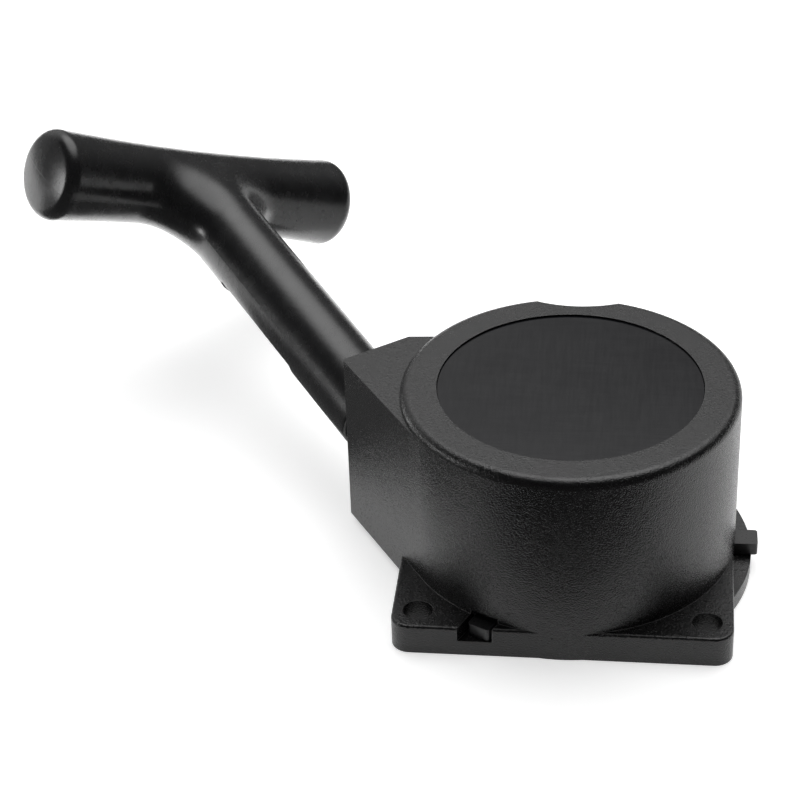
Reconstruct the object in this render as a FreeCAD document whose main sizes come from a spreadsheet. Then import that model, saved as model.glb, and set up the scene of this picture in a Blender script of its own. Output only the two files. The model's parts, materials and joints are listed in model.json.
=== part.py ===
import FreeCAD, Part
import math
import os
import Sketcher

# Recoil (pull) starter for a small model engine.
# Frame: origin on the flange's mounting face, on the reel's axis; +Z towards the closed top of the cup.
# The cord leaves along the outlet line, tilted upwards; the handle and its fittings are about that line.

doc = FreeCAD.newDocument("recoil_starter")

DIMS = {
    # square flange with four clearance holes
    "flange_side": 36.0, "flange_thick": 3.5, "flange_corner": 2.0, "hole_pitch": 30.4, "hole_radius": 1.6,
    # cup
    "cup_radius": 18.15, "cup_height": 22.75, "cup_edge": 1.0, "cavity_radius": 15.6, "cavity_height": 20.4,
    "label_radius": 14.2, "label_depth": 0.8, "label_thick": 0.6,
    "flute_radius": 12.0, "flute_centre": 28.7,
    # cord outlet horn
    "horn_top": 21.5, "horn_bottom": 1.0, "horn_face": 19.5, "horn_near": -16.7, "horn_far": -8.2,
    "cord_offset": -11.82, "seat_reach": 20.4, "seat_height": 11.54, "boss_radius": 4.2,
    # three-tab retainer
    "ledge_height": 1.8, "ledge_radius": 20.0, "tab_gap": 0.05, "tab_thick": 1.45, "tab_width": 2.6,
    "tab_reach": 20.65, "short_tab_reach": 19.4, "window_width": 3.3, "window_height": 2.05,
    "window_edge": 0.25, "plate_radius": 15.3, "plate_bore": 8.75,
    # centre post and its fittings
    "post_radius": 2.5, "post_end": 12.1, "sleeve_radius": 3.5, "screw_radius": 1.25, "screw_length": 7.0,
    "washer_radius": 5.0, "washer_thick": 0.5, "head_radius": 2.75, "head_height": 1.5,
    # reel
    "reel_radius": 14.9, "core_radius": 8.3, "reel_rim_thick": 1.5, "groove_low": 8.1, "groove_high": 13.1,
    "hub_bottom": 0.9, "arbor_radius": 4.9, "arbor_top": 19.9, "reel_bore": 3.55, "web_low": 12.3,
    "hex_flats": 13.0, "hex_top": 9.3, "knot_pocket": 2.0, "knot_reach": 11.6,
    # one-way clutch
    "clutch_low": 1.2, "clutch_high": 9.2, "sleeve_flats": 12.94, "clutch_bore": 4.75, "shaft_radius": 3.0,
    "cage_radius": 4.55, "roller_radius": 0.8, "roller_reach": 3.83, "roller_length": 4.4,
    "end_ring_thick": 0.5,
    # cord
    "cord_radius": 0.8, "cord_height": 10.6, "outer_wrap": 10.7, "inner_wrap": 9.15,
    # recoil spring
    "spring_low": 15.4, "spring_tall": 4.2, "spring_tape": 0.35, "shim_low": 14.95, "shim_thick": 0.3,
    "anchor_reach": 14.1, "anchor_radius": 0.75,
    # eyelet, ferrule and handle
    "eyelet_bore": 1.15, "eyelet_radius": 2.6, "eyelet_length": 4.4, "eyelet_rim": 3.3,
    "eyelet_rim_thick": 0.6, "handle_gap": 0.2, "stem_radius": 4.55,
    "bar_line": 45.3, "bar_half": 22.3, "bar_end_radius": 5.55,
    "bar_waist_radius": 4.7, "bar_dome": 0.8, "bar_edge": 1.2, "stem_bore": 1.3, "ferrule_radius": 2.4,
    "ferrule_length": 6.0, "knot_room": 2.6, "knot_room_depth": 9.5, "cap_thick": 2.6,
    "panel_depth": 0.3, "panel_low": 13.0, "panel_high": 29.5,
}
OUTLET_ANGLE = 127.4        # direction of the cord outlet seen from above, from +X
OUTLET_TILT = 11.9          # upward tilt of the outlet line
BAR_ROLL = 24.8             # turn of the cross bar about the outlet line
TABS = ((1.2, "tab_reach"), (122.3, "short_tab_reach"), (243.4, "short_tab_reach"))
SPRING_TURN = 200.0         # direction of the spring's anchor pin

sheet = doc.addObject("Spreadsheet::Sheet", "Dimensions")
for row, (name, value) in enumerate(DIMS.items(), start=1):
    sheet.set("A%d" % row, name)
    sheet.set("B%d" % row, str(value))
    sheet.setAlias("B%d" % row, name)
doc.recompute()


class Dim:
    """A value together with the spreadsheet expression it comes from."""

    def __init__(self, value, text):
        self.value, self.text = value, text

    def _join(self, other, sign, value):
        text = other.text if isinstance(other, Dim) else repr(other)
        return Dim(value, "(%s %s %s)" % (self.text, sign, text))

    def __add__(self, other):
        return self._join(other, "+", self.value + number(other))

    def __sub__(self, other):
        return self._join(other, "-", self.value - number(other))

    def __mul__(self, other):
        return self._join(other, "*", self.value * number(other))

    def __truediv__(self, other):
        return self._join(other, "/", self.value / number(other))

    def __neg__(self):
        return Dim(-self.value, "(0 - %s)" % self.text)


def number(item):
    return item.value if isinstance(item, Dim) else item


def d(name):
    return Dim(DIMS[name], "Dimensions." + name)


def bind(obj, prop, item):
    """Set a property, and tie it to the spreadsheet when the value comes from there."""
    if isinstance(item, Dim):
        obj.setExpression(prop, item.text)
    else:
        setattr(obj, prop, item)


def at(x, y, z):
    return FreeCAD.Placement(FreeCAD.Vector(x, y, z), FreeCAD.Rotation())


def new_body(name, label):
    body = doc.addObject("PartDesign::Body", name)
    body.Label = label
    return body


def plane_of(body, role):
    return next(f for f in body.Origin.OriginFeatures if f.Role == role)


def new_sketch(body, name, role="XY_Plane", lift=0.0):
    sketch = body.newObject("Sketcher::SketchObject", name)
    sketch.AttachmentSupport = [(plane_of(body, role), "")]
    sketch.MapMode = "FlatFace"
    if isinstance(lift, Dim):
        sketch.setExpression("AttachmentOffset.Base.z", lift.text)
    else:
        sketch.AttachmentOffset = at(0, 0, lift)
    return sketch


def pin_point(sketch, geo, pos, x, y):
    """Fix one point of a sketch at x, y from the sketch's origin."""
    for kind, item, axis in (("DistanceX", x, -2), ("DistanceY", y, -1)):
        if number(item) == 0:
            sketch.addConstraint(Sketcher.Constraint("PointOnObject", geo, pos, axis))
            continue
        index = sketch.addConstraint(Sketcher.Constraint(kind, -1, 1, geo, pos, number(item)))
        if isinstance(item, Dim):
            sketch.setExpression("Constraints[%d]" % index, item.text)


def draw_polygon(sketch, points):
    first = sketch.GeometryCount
    vectors = [FreeCAD.Vector(number(x), number(y), 0) for x, y in points]
    count = len(points)
    for i in range(count):
        sketch.addGeometry(Part.LineSegment(vectors[i], vectors[(i + 1) % count]), False)
    for i in range(count):
        sketch.addConstraint(Sketcher.Constraint("Coincident", first + i, 2, first + (i + 1) % count, 1))
    for i, (x, y) in enumerate(points):
        pin_point(sketch, first + i, 1, x, y)


def draw_circle(sketch, radius, x=0, y=0):
    centre = FreeCAD.Vector(number(x), number(y), 0)
    geo = sketch.addGeometry(Part.Circle(centre, FreeCAD.Vector(0, 0, 1), number(radius)), False)
    pin_point(sketch, geo, 3, x, y)
    index = sketch.addConstraint(Sketcher.Constraint("Radius", geo, number(radius)))
    if isinstance(radius, Dim):
        sketch.setExpression("Constraints[%d]" % index, radius.text)


def draw_hexagon(sketch, flats):
    half = flats / 2
    corner = half * (1.0 / math.cos(math.radians(30)))
    points = []
    for k in range(6):
        angle = math.radians(60 * k + 30)
        points.append((corner * round(math.cos(angle), 12), corner * round(math.sin(angle), 12)))
    draw_polygon(sketch, [(0 if abs(number(x)) < 1e-9 else x, y) for x, y in points])


def pad(body, name, sketch, length):
    feature = body.newObject("PartDesign::Pad", name)
    feature.Profile = sketch
    bind(feature, "Length", length)
    return feature


def cut_cylinder(body, name, radius, low, high, x=0.0, y=0.0, add=False):
    """A vertical round cut (or boss) from one height to another."""
    kind = "PartDesign::AdditiveCylinder" if add else "PartDesign::SubtractiveCylinder"
    feature = body.newObject(kind, name)
    bind(feature, "Radius", radius)
    bind(feature, "Height", high - low)
    feature.Placement = at(number(x), number(y), number(low))
    for prop, item in (("Placement.Base.x", x), ("Placement.Base.y", y), ("Placement.Base.z", low)):
        if isinstance(item, Dim):
            feature.setExpression(prop, item.text)
    return feature


def add_cylinder(body, name, radius, low, high, x=0.0, y=0.0):
    return cut_cylinder(body, name, radius, low, high, x, y, add=True)


def block(body, name, size, placement, add=False):
    """A box centred on its own Y and Z, starting at its own X = 0."""
    feature = body.newObject("PartDesign::AdditiveBox" if add else "PartDesign::SubtractiveBox", name)
    for prop, item in zip(("Length", "Width", "Height"), size):
        bind(feature, prop, item)
    feature.Placement = placement.multiply(at(0, -number(size[1]) / 2, -number(size[2]) / 2))
    return feature


def spoke(angle, reach, height):
    """Placement whose X axis points outwards at an angle, starting at a reach from the axis."""
    turn = FreeCAD.Rotation(FreeCAD.Vector(0, 0, 1), angle)
    return FreeCAD.Placement(turn.multVec(FreeCAD.Vector(reach, 0, 0)) + FreeCAD.Vector(0, 0, height), turn)


def polar(body, name, original, count):
    feature = body.newObject("PartDesign::PolarPattern", name)
    feature.Originals = [original]
    feature.Axis = (plane_of(body, "Z_Axis"), [""])
    feature.Angle = 360
    feature.Occurrences = count
    body.Tip = feature
    return feature


def round_edges(body, name, base, radius, wanted):
    """Fillet every edge of the base feature for which wanted(edge) is true."""
    doc.recompute()
    names = ["Edge%d" % (i + 1) for i, edge in enumerate(base.Shape.Edges) if wanted(edge)]
    if not names:
        raise RuntimeError("no edge found for " + name)
    feature = body.newObject("PartDesign::Fillet", name)
    feature.Base = (base, names)
    bind(feature, "Radius", radius)
    return feature


def edge_heights(edge):
    return edge.BoundBox.ZMin, edge.BoundBox.ZMax


def edge_reach(edge):
    """Smallest distance from the Z axis among points of an edge."""
    return min(math.hypot(p.x, p.y) for p in edge.discretize(9))


# ---------------------------------------------------------------- directions of the outlet line
ALONG = FreeCAD.Vector(math.cos(math.radians(OUTLET_ANGLE)), math.sin(math.radians(OUTLET_ANGLE)), 0)
ACROSS = FreeCAD.Vector(ALONG.y, -ALONG.x, 0)
LINE = ALONG * math.cos(math.radians(OUTLET_TILT)) + FreeCAD.Vector(0, 0, math.sin(math.radians(OUTLET_TILT)))
SEAT = ALONG * DIMS["seat_reach"] + ACROSS * DIMS["cord_offset"] + FreeCAD.Vector(0, 0, DIMS["seat_height"])
DOWN = LINE.cross(ACROSS)
BAR = ACROSS * math.cos(math.radians(BAR_ROLL)) + DOWN * math.sin(math.radians(BAR_ROLL))
OUTLET = FreeCAD.Placement(SEAT, FreeCAD.Rotation(BAR, LINE.cross(BAR), LINE, "ZXY"))


def plan_point(reach, offset):
    """Point in plan from a reach along the outlet direction and an offset across it."""
    ax, ay = ALONG.x, ALONG.y
    return (d(reach) * ax + d(offset) * ACROSS.x, d(reach) * ay + d(offset) * ACROSS.y)


# ================================================================= housing
def make_housing():
    body = new_body("housing", "Housing")
    half = d("flange_side") / 2
    plate = new_sketch(body, "flange_outline")
    draw_polygon(plate, [(half, half), (-half, half), (-half, -half), (half, -half)])
    flange = pad(body, "flange", plate, d("flange_thick"))
    rounded = round_edges(body, "flange_corners", flange, d("flange_corner"),
                          lambda e: edge_heights(e)[1] - edge_heights(e)[0] > 1)
    rounded = round_edges(body, "flange_top_edge", rounded, 0.3,
                          lambda e: edge_heights(e)[0] > DIMS["flange_thick"] - 0.01)

    lobe = new_sketch(body, "ledge_outline")
    draw_circle(lobe, d("ledge_radius"))
    draw_circle(lobe, d("ledge_radius") - 6)
    ledge = pad(body, "ledge", lobe, d("ledge_height"))
    # the ledge only shows on the +X side; the other three sides are trimmed flush with the flange
    for angle, name in ((90, "trim_back"), (180, "trim_left"), (270, "trim_front")):
        block(body, name, (5, 60, 10), spoke(angle, DIMS["flange_side"] / 2, 0))

    add_cylinder(body, "cup", d("cup_radius"), Dim(0, "0"), d("cup_height"))
    outline = new_sketch(body, "horn_outline", lift=d("horn_bottom"))
    near, far = plan_point("horn_face", "horn_near"), plan_point("horn_face", "horn_far")
    tangent = tangent_point(number(near[0]), number(near[1]), DIMS["cup_radius"])
    draw_polygon(outline, [near, far, (-14.6, 10.75), (-9.0, 4.0), (-9.0, -4.0), tangent])
    horn = pad(body, "horn", outline, d("horn_top") - d("horn_bottom"))
    round_edges(body, "horn_corner", horn, 0.35, lambda e: is_horn_corner(e, near, far))

    flute = cut_cylinder(body, "flute", d("flute_radius"), d("flange_thick"), d("cup_height") + 1,
                         0, d("flute_centre"))
    top = round_edges(body, "cup_top_edge", flute, d("cup_edge"),
                      lambda e: edge_heights(e)[0] > DIMS["cup_height"] - 0.01)
    cut_cylinder(body, "label_recess", d("label_radius"), d("cup_height") - d("label_depth"),
                 d("cup_height") + 1)
    cut_cylinder(body, "cavity", d("cavity_radius"), Dim(-1, "-1"), d("cavity_height"))
    add_cylinder(body, "post", d("post_radius"), d("post_end"), d("cavity_height") + 0.3)
    cut_cylinder(body, "post_hole", d("screw_radius"), d("post_end") - 1, d("post_end") + d("screw_length"))

    outlet_features(body)
    for sx in (1, -1):
        for sy in (1, -1):
            x, y = d("hole_pitch") * (sx * 0.5), d("hole_pitch") * (sy * 0.5)
            cut_cylinder(body, "hole_%s%s" % ("pn"[sx < 0], "pn"[sy < 0]), d("hole_radius"),
                         Dim(-1, "-1"), d("flange_thick") + 1, x, y)
    mid = DIMS["ledge_height"] + DIMS["window_height"] / 2
    for k, (angle, _) in enumerate(TABS):
        window = block(body, "window_%d" % k, (8, d("window_width"), d("window_height")),
                       spoke(angle, 14.0, mid))
    round_edges(body, "window_edges", window, d("window_edge"), is_window_edge)
    return body


def is_window_edge(edge):
    """Upper edge of a retainer window on the outside of the cup."""
    low, high = edge_heights(edge)
    level = DIMS["ledge_height"] + DIMS["window_height"]
    flat = abs(low - level) < 0.01 and abs(high - level) < 0.01
    return flat and edge_reach(edge) > DIMS["cup_radius"] - 0.01


def tangent_point(x, y, radius):
    """Point where the line from x, y touches the cup on the -Y side."""
    reach = math.hypot(x, y)
    angle = math.atan2(y, x) + math.acos(radius / reach)
    return (radius * math.cos(angle), radius * math.sin(angle))


def is_horn_corner(edge, near, far):
    low, high = edge_heights(edge)
    x, y = edge.CenterOfMass.x, edge.CenterOfMass.y
    tall = high - low > 15
    return tall and min(math.hypot(x - number(p[0]), y - number(p[1])) for p in (near, far)) < 0.2


def outlet_features(body):
    """Slanted boss that the handle seats on, the eyelet's bore and the cord's way in from the cavity."""
    boss = body.newObject("PartDesign::AdditiveCylinder", "outlet_boss")
    bind(boss, "Radius", d("boss_radius"))
    boss.Height = 4.0
    boss.Placement = OUTLET.multiply(shifted(-4.0))
    rim = body.newObject("PartDesign::SubtractiveCylinder", "eyelet_rim_seat")
    bind(rim, "Radius", d("eyelet_rim") + 0.02)
    rim.Height = 2.0
    rim.Placement = OUTLET.multiply(shifted(-DIMS["eyelet_rim_thick"]))
    bore = body.newObject("PartDesign::SubtractiveCylinder", "eyelet_seat")
    bind(bore, "Radius", d("eyelet_radius") + 0.02)
    bore.Height = 8.0
    bore.Placement = OUTLET.multiply(shifted(-DIMS["eyelet_length"] - 0.6))
    way = body.newObject("PartDesign::SubtractiveCylinder", "cord_way")
    way.Radius, way.Height = 2.3, 9.5
    start = ALONG * 7.5 + ACROSS * DIMS["cord_offset"] + FreeCAD.Vector(0, 0, DIMS["cord_height"])
    way.Placement = FreeCAD.Placement(start, FreeCAD.Rotation(FreeCAD.Vector(0, 0, 1), ALONG))
    core = new_sketch(body, "horn_core_outline", lift=d("horn_bottom") - 1)
    draw_polygon(core, [(-21.6, 6.4), (-18.2, 8.8), (-17.4, 8.2), (-18.0, 4.5), (-19.3, 2.6)])
    pocket = body.newObject("PartDesign::Pocket", "horn_core")
    pocket.Profile = core
    pocket.Length = 6.0
    pocket.Reversed = True


def shifted(height):
    return at(0, 0, height)


def make_round(name, label, steps, bore=None, place=None):
    """Turned piece: stacked cylinders (radius, low, high), then bores (radius, low, high)."""
    body = new_body(name, label)
    for k, (radius, low, high) in enumerate(steps):
        add_cylinder(body, "%s_turn_%d" % (name, k), radius, low, high)
    for k, (radius, low, high) in enumerate(bore or ()):
        cut_cylinder(body, "%s_bore_%d" % (name, k), radius, low, high)
    if place is not None:
        body.Placement = place
    return body


def make_retainer():
    low = d("ledge_height") + d("tab_gap")
    body = make_round("retainer_plate", "Retainer plate", [(d("plate_radius"), low, low + d("tab_thick"))],
                      [(d("plate_bore"), low - 1, low + d("tab_thick") + 1)])
    mid = DIMS["ledge_height"] + DIMS["tab_gap"] + DIMS["tab_thick"] / 2
    for k, (angle, reach) in enumerate(TABS):
        size = (d(reach) - 13, d("tab_width"), d("tab_thick"))
        block(body, "tab_%d" % k, size, spoke(angle, 13.0, mid), add=True)
    for k in range(6):
        angle = math.radians(31.2 + 60 * k)
        cut_cylinder(body, "relief_%d" % k, 1.4, low - 1, low + d("tab_thick") + 1,
                     12.2 * math.cos(angle), 12.2 * math.sin(angle))
    round_edges(body, "tab_ends", body.Tip, 0.35, is_tab_end)
    return body


def is_tab_end(edge):
    low, high = edge_heights(edge)
    return high - low > 1.0 and edge_reach(edge) > DIMS["short_tab_reach"] - 0.1


# ================================================================= reel and clutch
def make_reel():
    body = new_body("reel", "Reel")
    rim = d("reel_rim_thick")
    add_cylinder(body, "lower_rim", d("reel_radius"), d("groove_low") - rim, d("groove_low"))
    add_cylinder(body, "core", d("core_radius"), d("hub_bottom"), d("groove_high") + 0.5)
    add_cylinder(body, "upper_rim", d("reel_radius"), d("groove_high"), d("groove_high") + rim)
    add_cylinder(body, "arbor", d("arbor_radius"), d("groove_high"), d("arbor_top"))
    bottom = DIMS["groove_low"] - DIMS["reel_rim_thick"]
    for k in range(6):
        block(body, "gusset_%d" % k, (5.6, 1.2, 2.6), spoke(60 * k + 30, 7.8, bottom - 1.2), add=True)
    cut_cylinder(body, "post_bore", d("reel_bore"), d("web_low") - 1, d("arbor_top") + 1)
    cut_cylinder(body, "washer_room", d("washer_radius") + 0.4, d("hex_top") - 0.5, d("web_low"))
    hexagon = new_sketch(body, "hex_outline", lift=d("hub_bottom") - 1)
    draw_hexagon(hexagon, d("hex_flats"))
    pocket = body.newObject("PartDesign::Pocket", "hex_pocket")
    pocket.Profile = hexagon
    bind(pocket, "Length", d("hex_top") - d("hub_bottom") + 1)
    pocket.Reversed = True
    block(body, "hook_slot", (2.2, 1.2, 6.0), spoke(SPRING_TURN + 180, 4.0, DIMS["spring_low"] + 2.1))
    knot = math.radians(60)
    cut_cylinder(body, "knot_pocket", d("knot_pocket"), d("groove_high") + 0.001, d("groove_high") + rim + 1,
                 d("knot_reach") * math.cos(knot), d("knot_reach") * math.sin(knot))
    cut_cylinder(body, "knot_hole", 0.95, d("groove_high") - 0.5, d("groove_high") + 1,
                 d("knot_reach") * math.cos(knot), d("knot_reach") * math.sin(knot))
    for k in range(5):
        angle = math.radians(60 * k + 120)
        cut_cylinder(body, "upper_relief_%d" % k, 1.9, d("groove_high") - 0.2, d("groove_high") + rim + 1,
                     11.6 * math.cos(angle), 11.6 * math.sin(angle))
    return body


def make_clutch_sleeve():
    body = new_body("clutch_sleeve", "Clutch hex sleeve")
    outline = new_sketch(body, "clutch_hex", lift=d("clutch_low"))
    draw_hexagon(outline, d("sleeve_flats"))
    pad(body, "clutch_block", outline, d("clutch_high") - d("clutch_low"))
    cut_cylinder(body, "clutch_bore_cut", d("clutch_bore"), d("clutch_low") - 1, d("clutch_high") + 1)
    ramp = cut_cylinder(body, "ramp", 1.05, d("clutch_low") + 1, d("clutch_high") - 1, 3.98, -0.35)
    polar(body, "ramps", ramp, 6)
    return body


def make_cage():
    low, high = d("clutch_low") + d("end_ring_thick"), d("clutch_high") - d("end_ring_thick")
    body = make_round("clutch_cage", "Clutch cage", [(d("cage_radius"), low, high)],
                      [(d("shaft_radius"), low - 1, high + 1)])
    middle = (DIMS["clutch_low"] + DIMS["clutch_high"]) / 2
    window = block(body, "roller_window", (4, 2.5, DIMS["roller_length"] + 0.2),
                   at(2.0, 0.35, middle))
    polar(body, "roller_windows", window, 6)
    return body


def ring_of(name, label, base, count):
    """Copies of one Part object around the Z axis, held together as one sub-part of loose solids."""
    array = doc.addObject("Part::Compound", name)
    copies = []
    for k in range(count):
        copy = base if k == 0 else doc.copyObject(base, False)
        copy.Placement = spoke(360.0 * k / count, 0, 0).multiply(base.Placement)
        copies.append(copy)
    array.Links = copies
    array.Label = label
    return array


def make_rollers():
    roller = doc.addObject("Part::Cylinder", "roller")
    bind(roller, "Radius", d("roller_radius"))
    bind(roller, "Height", d("roller_length"))
    low = (DIMS["clutch_low"] + DIMS["clutch_high"] - DIMS["roller_length"]) / 2
    roller.Placement = at(DIMS["roller_reach"], 0, low)
    return ring_of("clutch_rollers", "Clutch rollers", roller, 6)


def make_roller_springs():
    leaf = doc.addObject("Part::Box", "leaf")
    leaf.Length, leaf.Width, leaf.Height = 1.0, 0.15, 4.0
    low = (DIMS["clutch_low"] + DIMS["clutch_high"] - 4.0) / 2
    leaf.Placement = at(3.35, 1.15, low)
    return ring_of("clutch_leaf_springs", "Clutch leaf springs", leaf, 6)


def make_end_rings():
    shapes = []
    for k, low in enumerate((d("clutch_low"), d("clutch_high") - d("end_ring_thick"))):
        outer = doc.addObject("Part::Cylinder", "ring_outer_%d" % k)
        inner = doc.addObject("Part::Cylinder", "ring_inner_%d" % k)
        bind(outer, "Radius", d("clutch_bore") - 0.05)
        bind(inner, "Radius", d("shaft_radius") + 0.05)
        for item, grow in ((outer, 0), (inner, 1)):
            item.Height = DIMS["end_ring_thick"] + 2 * grow
            item.Placement = shifted(number(low) - grow)
        ring = doc.addObject("Part::Cut", "end_ring_%d" % k)
        ring.Base, ring.Tool = outer, inner
        shapes.append(ring)
    pair = doc.addObject("Part::Compound", "clutch_end_rings")
    pair.Links = shapes
    pair.Label = "Clutch end rings"
    return pair


# ================================================================= cord
def make_windings():
    body = new_body("cord_windings", "Cord windings")
    for wrap in ("outer_wrap", "inner_wrap"):
        for column in (-1, 0, 1):
            torus = body.newObject("PartDesign::AdditiveTorus", "%s_%d" % (wrap, column + 1))
            bind(torus, "Radius1", d(wrap))
            bind(torus, "Radius2", d("cord_radius") + 0.02)
            torus.Placement = shifted(DIMS["cord_height"] + column * 2 * DIMS["cord_radius"])
    return body


def make_cord_run():
    """The stretch of cord between the reel and the eyelet, level with the groove."""
    run = doc.addObject("Part::Cylinder", "cord_run")
    bind(run, "Radius", d("cord_radius"))
    run.Height = 10.4
    start = ALONG * 5.4 + ACROSS * DIMS["cord_offset"] + FreeCAD.Vector(0, 0, DIMS["cord_height"])
    run.Placement = FreeCAD.Placement(start, FreeCAD.Rotation(FreeCAD.Vector(0, 0, 1), ALONG))
    run.Label = "Cord run inside the housing"
    return run


def make_knot(name, label, radius, place):
    """Overhand knot drawn as two crossed rings around a core."""
    body = new_body(name, label)
    ball = body.newObject("PartDesign::AdditiveSphere", name + "_ball")
    ball.Radius = radius * 0.8
    for k, tilt in enumerate((35, -35)):
        ring = body.newObject("PartDesign::AdditiveTorus", "%s_loop_%d" % (name, k))
        ring.Radius1, ring.Radius2 = radius * 0.58, radius * 0.42
        ring.Placement = FreeCAD.Placement(FreeCAD.Vector(), FreeCAD.Rotation(FreeCAD.Vector(1, 0, 0), tilt))
    body.Placement = place
    return body


# ================================================================= recoil spring
def spiral_edges(inner, half_turns, growth, shift):
    """A spiral as half-circle arcs about two centres in turn; growth is the rise in radius per half turn."""
    edges = []
    for k in range(half_turns):
        side = 1 if k % 2 == 0 else -1
        radius = inner + growth * (k + 0.5) + shift
        centre = side * growth / 2
        turn = ((-radius, 0), (0, -radius), (radius, 0))
        points = [FreeCAD.Vector(centre + side * x, side * y, 0) for x, y in turn]
        edges.append(Part.Arc(*points).toShape())
    return edges


def make_spring():
    """Flat spiral spring: inner end bent into the arbor's slot, outer end bent round the anchor pin."""
    tape, tall, half_turns = DIMS["spring_tape"], DIMS["spring_tall"], 13
    inner = DIMS["arbor_radius"] + 0.75
    reach, pin = DIMS["anchor_reach"], DIMS["anchor_radius"]
    growth = (reach - pin - tape / 2 - 0.05 - inner) / half_turns
    low, high = (spiral_edges(inner, half_turns, growth, shift) for shift in (-tape / 2, tape / 2))
    ends = [Part.makeLine(low[0].valueAt(low[0].FirstParameter), high[0].valueAt(high[0].FirstParameter)),
            Part.makeLine(low[-1].valueAt(low[-1].LastParameter), high[-1].valueAt(high[-1].LastParameter))]
    strip = Part.Face(Part.Wire(Part.__sortEdges__(low + high + ends)))
    solid = strip.extrude(FreeCAD.Vector(0, 0, tall))
    hook = Part.makeBox(inner - 4.55, tape, tall, FreeCAD.Vector(-inner, -tape / 2, 0))
    centre = FreeCAD.Vector(reach, 0, 0)
    eye = Part.makeCylinder(pin + 0.05 + tape, tall, centre).cut(Part.makeCylinder(pin + 0.05, tall, centre))
    spring = doc.addObject("Part::Feature", "recoil_spring")
    spring.Shape = solid.fuse([hook, eye]).removeSplitter()
    spring.Placement = FreeCAD.Placement(FreeCAD.Vector(0, 0, DIMS["spring_low"]),
                                         FreeCAD.Rotation(FreeCAD.Vector(0, 0, 1), SPRING_TURN))
    spring.Label = "Recoil spring"
    return spring


def make_anchor_pin():
    angle = math.radians(SPRING_TURN)
    pin = doc.addObject("Part::Cylinder", "spring_anchor_pin")
    bind(pin, "Radius", d("anchor_radius"))
    bind(pin, "Height", d("cavity_height") - d("spring_low") + 0.1)
    x, y = DIMS["anchor_reach"] * math.cos(angle), DIMS["anchor_reach"] * math.sin(angle)
    pin.Placement = at(x, y, DIMS["spring_low"] - 0.1)
    pin.Label = "Spring anchor pin"
    return pin


def make_screw():
    """Pan-head screw that holds the washer under the reel, head down, with a cross recess."""
    top = d("post_end") - 0.05
    under = top - d("washer_thick")
    body = make_round("reel_screw", "Reel screw",
                      [(d("head_radius"), under - d("head_height"), under),
                       (d("screw_radius"), under - 0.5, d("post_end") + d("screw_length") - 0.6)])
    bottom = number(under) - DIMS["head_height"]
    for angle in (0, 90):
        block(body, "cross_%d" % angle, (2.8, 0.6, 1.6), spoke(angle, -1.4, bottom))
    round_edges(body, "head_edge", body.Tip, 0.6,
                lambda e: edge_heights(e)[1] < bottom + 0.01 and edge_reach(e) > DIMS["head_radius"] - 0.05)
    return body


# ================================================================= handle
def bar_outline():
    """Half outline of the cross bar: waisted side, domed ends, and the axis that it turns about."""
    half, end, dome, middle = DIMS["bar_half"], DIMS["bar_end_radius"], DIMS["bar_dome"], DIMS["bar_line"]
    shoulder = half - dome
    bulge = shoulder + dome * 0.75
    arcs = (((-shoulder, end), (0, DIMS["bar_waist_radius"]), (shoulder, end)),
            ((shoulder, end), (bulge, end / 2), (half, 0)),
            ((-half, 0), (-bulge, end / 2), (-shoulder, end)))
    lines = [Part.Arc(*[FreeCAD.Vector(x, middle + y, 0) for x, y in points]) for points in arcs]
    lines.insert(2, Part.LineSegment(FreeCAD.Vector(half, middle, 0), FreeCAD.Vector(-half, middle, 0)))
    return lines


def make_handle():
    """T handle drawn with its stem along Z and its cross bar along X, then laid on the outlet line."""
    body = new_body("handle", "Handle")
    line = d("bar_line")
    low = d("handle_gap")
    stem = add_cylinder(body, "stem", d("stem_radius"), low, line)
    round_edges(body, "stem_end_edge", stem, 0.4, lambda e: edge_heights(e)[1] < DIMS["handle_gap"] + 0.01)
    flare(body)
    profile = new_sketch(body, "bar_profile", role="XZ_Plane")
    for k, item in enumerate(bar_outline()):
        profile.addGeometry(item, False)
        profile.addConstraint(Sketcher.Constraint("Block", k))
    turned = body.newObject("PartDesign::Revolution", "bar")
    turned.Profile = profile
    turned.ReferenceAxis = (profile, ["Edge3"])
    turned.Angle = 360
    round_edges(body, "bar_ends", turned, d("bar_edge"), is_bar_end)
    cut_cylinder(body, "cord_bore", d("stem_bore"), Dim(-1, "-1"), line + 1)
    cut_cylinder(body, "ferrule_seat", d("ferrule_radius") + 0.02, Dim(-1, "-1"), low + d("ferrule_length"))
    top = line + d("bar_waist_radius")
    cut_cylinder(body, "knot_room_cut", d("knot_room"), top - d("knot_room_depth"), top + 2)
    thumb_panel(body)
    body.Placement = OUTLET
    return body


def thumb_panel(body):
    """Shallow recess on one flank of the stem."""
    outline = new_sketch(body, "panel_outline", role="YZ_Plane")
    low, high, radius = d("panel_low"), d("panel_high"), d("stem_radius")
    floor = radius - d("panel_depth")
    draw_polygon(outline, [(floor, low), (radius + 1, low), (radius + 1, high), (floor, high)])
    groove = body.newObject("PartDesign::Groove", "thumb_panel")
    groove.Profile = outline
    groove.ReferenceAxis = (outline, ["V_Axis"])
    groove.Angle = 100
    groove.Midplane = True


def is_bar_end(edge):
    box = edge.BoundBox
    return box.XMax - box.XMin < 0.01 and abs(box.XMax) > DIMS["bar_half"] - DIMS["bar_dome"] - 0.01 \
        and box.YMax > DIMS["bar_end_radius"] - 0.1


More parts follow.
